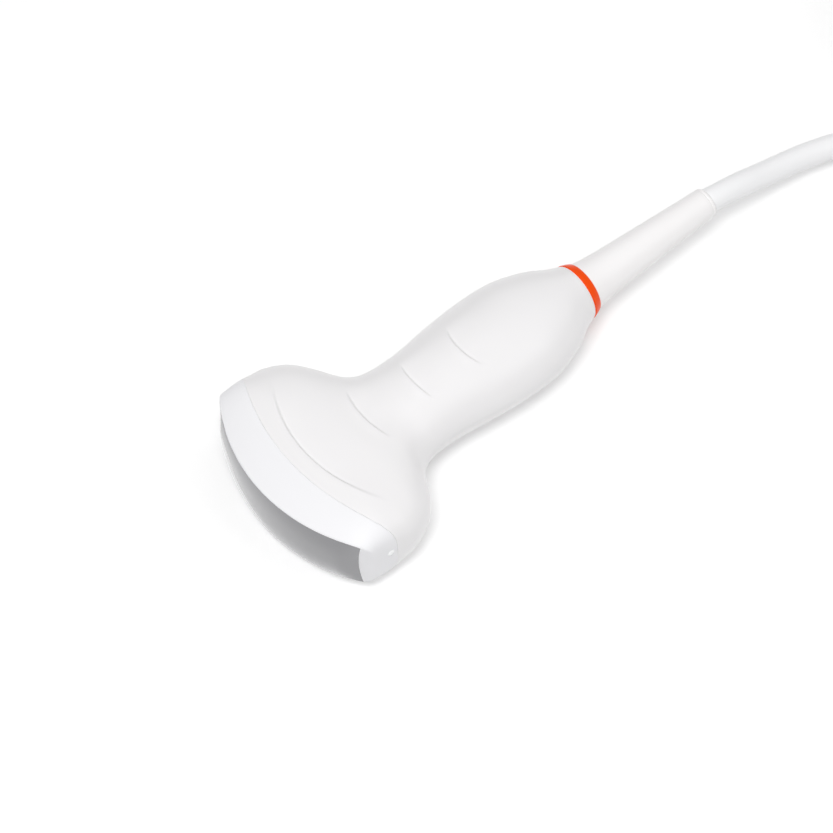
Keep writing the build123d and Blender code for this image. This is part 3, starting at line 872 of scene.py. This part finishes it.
def shape_lap():
    """The tape's free end, with its two corners rounded."""
    bpy.ops.object.select_all(action="DESELECT")
    bpy.ops.mesh.primitive_plane_add(size=1.0, location=LAP_MIDDLE)
    bpy.ops.transform.resize(value=LAP_SIZE)
    lap = bpy.context.active_object
    bpy.ops.object.transform_apply(location=True, rotation=True, scale=True)
    select_parts(lap, "VERT", lap.data.vertices, lambda vertex: vertex.co.y > LAP_MIDDLE[1])
    bpy.ops.mesh.bevel(offset=LAP_CORNER, segments=8, affect="VERTICES")
    bpy.ops.object.mode_set(mode="OBJECT")
    return lap


def shape_strap():
    """Joins the band and its lap, and gives the tape its thickness and soft edges."""
    strap = shape_band()
    lap = shape_lap()
    select_only(strap)
    lap.select_set(True)
    bpy.ops.object.join()
    shell = strap.modifiers.new("tape", "SOLIDIFY")
    shell.thickness = TAPE_THICKNESS
    shell.offset = 0.0
    edge = strap.modifiers.new("edge", "BEVEL")
    edge.width = TAPE_EDGE
    edge.segments = 2
    edge.limit_method = "ANGLE"
    edge.angle_limit = math.radians(50)
    bpy.ops.object.modifier_apply(modifier="tape")
    bpy.ops.object.modifier_apply(modifier="edge")
    return strap


hank_strap = shape_strap()
dress(hank_strap, "cable_tie", strap_grey)


# Table and light

TABLE_SHADE = 0.79
TABLE_TO_CAMERA, TABLE_REFLECTED = 0.265, 0.68
ROOM_SIDES, ROOM_ABOVE, ROOM_TO_CAMERA = 0.12, 0.75, 1.0
# Name, place, aim, size and power
LAMPS = (
    ("overhead", (-0.33, -0.28, 1.05), (-0.02, 0.0, 0.0), 0.40, 6.0),
    ("near_side", (0.35, -0.70, 0.75), (0.0, 0.0, 0.01), 0.5, 0.9),
)


def lay_table():
    """A plain table that keeps the probe's shadow, lit up a little to the camera and in gloss."""
    bpy.ops.object.select_all(action="DESELECT")
    bpy.ops.mesh.primitive_plane_add(size=8.0, location=(0, 0, -0.05 * MM))
    table = bpy.context.active_object
    table.name = "table"
    material, tree, shader = new_material("white_table")
    shader.inputs["Base Color"].default_value = (TABLE_SHADE, TABLE_SHADE, TABLE_SHADE, 1)
    shader.inputs["Roughness"].default_value = 0.9
    shader.inputs["Specular IOR Level"].default_value = 0.0
    shader.inputs["Emission Color"].default_value = (1, 1, 1, 1)
    path = tree.nodes.new("ShaderNodeLightPath")
    to_camera = tree.nodes.new("ShaderNodeMath")
    to_camera.operation = "MULTIPLY"
    to_camera.inputs[1].default_value = TABLE_TO_CAMERA
    reflected = tree.nodes.new("ShaderNodeMath")
    reflected.operation = "MULTIPLY_ADD"
    reflected.inputs[1].default_value = TABLE_REFLECTED
    tree.links.new(path.outputs["Is Camera Ray"], to_camera.inputs[0])
    tree.links.new(path.outputs["Is Glossy Ray"], reflected.inputs[0])
    tree.links.new(to_camera.outputs[0], reflected.inputs[2])
    tree.links.new(reflected.outputs[0], shader.inputs["Emission Strength"])
    table.data.materials.append(material)


def light_room():
    """A white room, lighter above than at the sides, a lamp overhead and a soft one nearby."""
    world = bpy.data.worlds.new("room")
    scene.world = world
    world.use_nodes = True
    tree = world.node_tree
    background = tree.nodes["Background"]
    background.inputs["Color"].default_value = (1, 1, 1, 1)
    direction = tree.nodes.new("ShaderNodeTexCoord")
    axes = tree.nodes.new("ShaderNodeSeparateXYZ")
    height = tree.nodes.new("ShaderNodeMapRange")
    height.inputs["From Min"].default_value = 0.0
    height.inputs["From Max"].default_value = 1.0
    height.inputs["To Min"].default_value = ROOM_SIDES
    height.inputs["To Max"].default_value = ROOM_ABOVE
    path = tree.nodes.new("ShaderNodeLightPath")
    level = tree.nodes.new("ShaderNodeMix")
    level.inputs["B"].default_value = ROOM_TO_CAMERA
    link = tree.links.new
    link(direction.outputs["Generated"], axes.inputs["Vector"])
    link(axes.outputs["Z"], height.inputs["Value"])
    link(height.outputs["Result"], level.inputs["A"])
    link(path.outputs["Is Camera Ray"], level.inputs["Factor"])
    link(level.outputs["Result"], background.inputs["Strength"])
    for name, place, aim, size, power in LAMPS:
        data = bpy.data.lights.new(name, "AREA")
        data.shape = "SQUARE"
        data.size = size
        data.energy = power
        lamp = bpy.data.objects.new(name, data)
        lamp.location = place
        towards = Vector(aim) - Vector(place)
        lamp.rotation_euler = towards.to_track_quat("-Z", "Y").to_euler()
        scene.collection.objects.link(lamp)


lay_table()
light_room()
scene.view_settings.view_transform = "Standard"
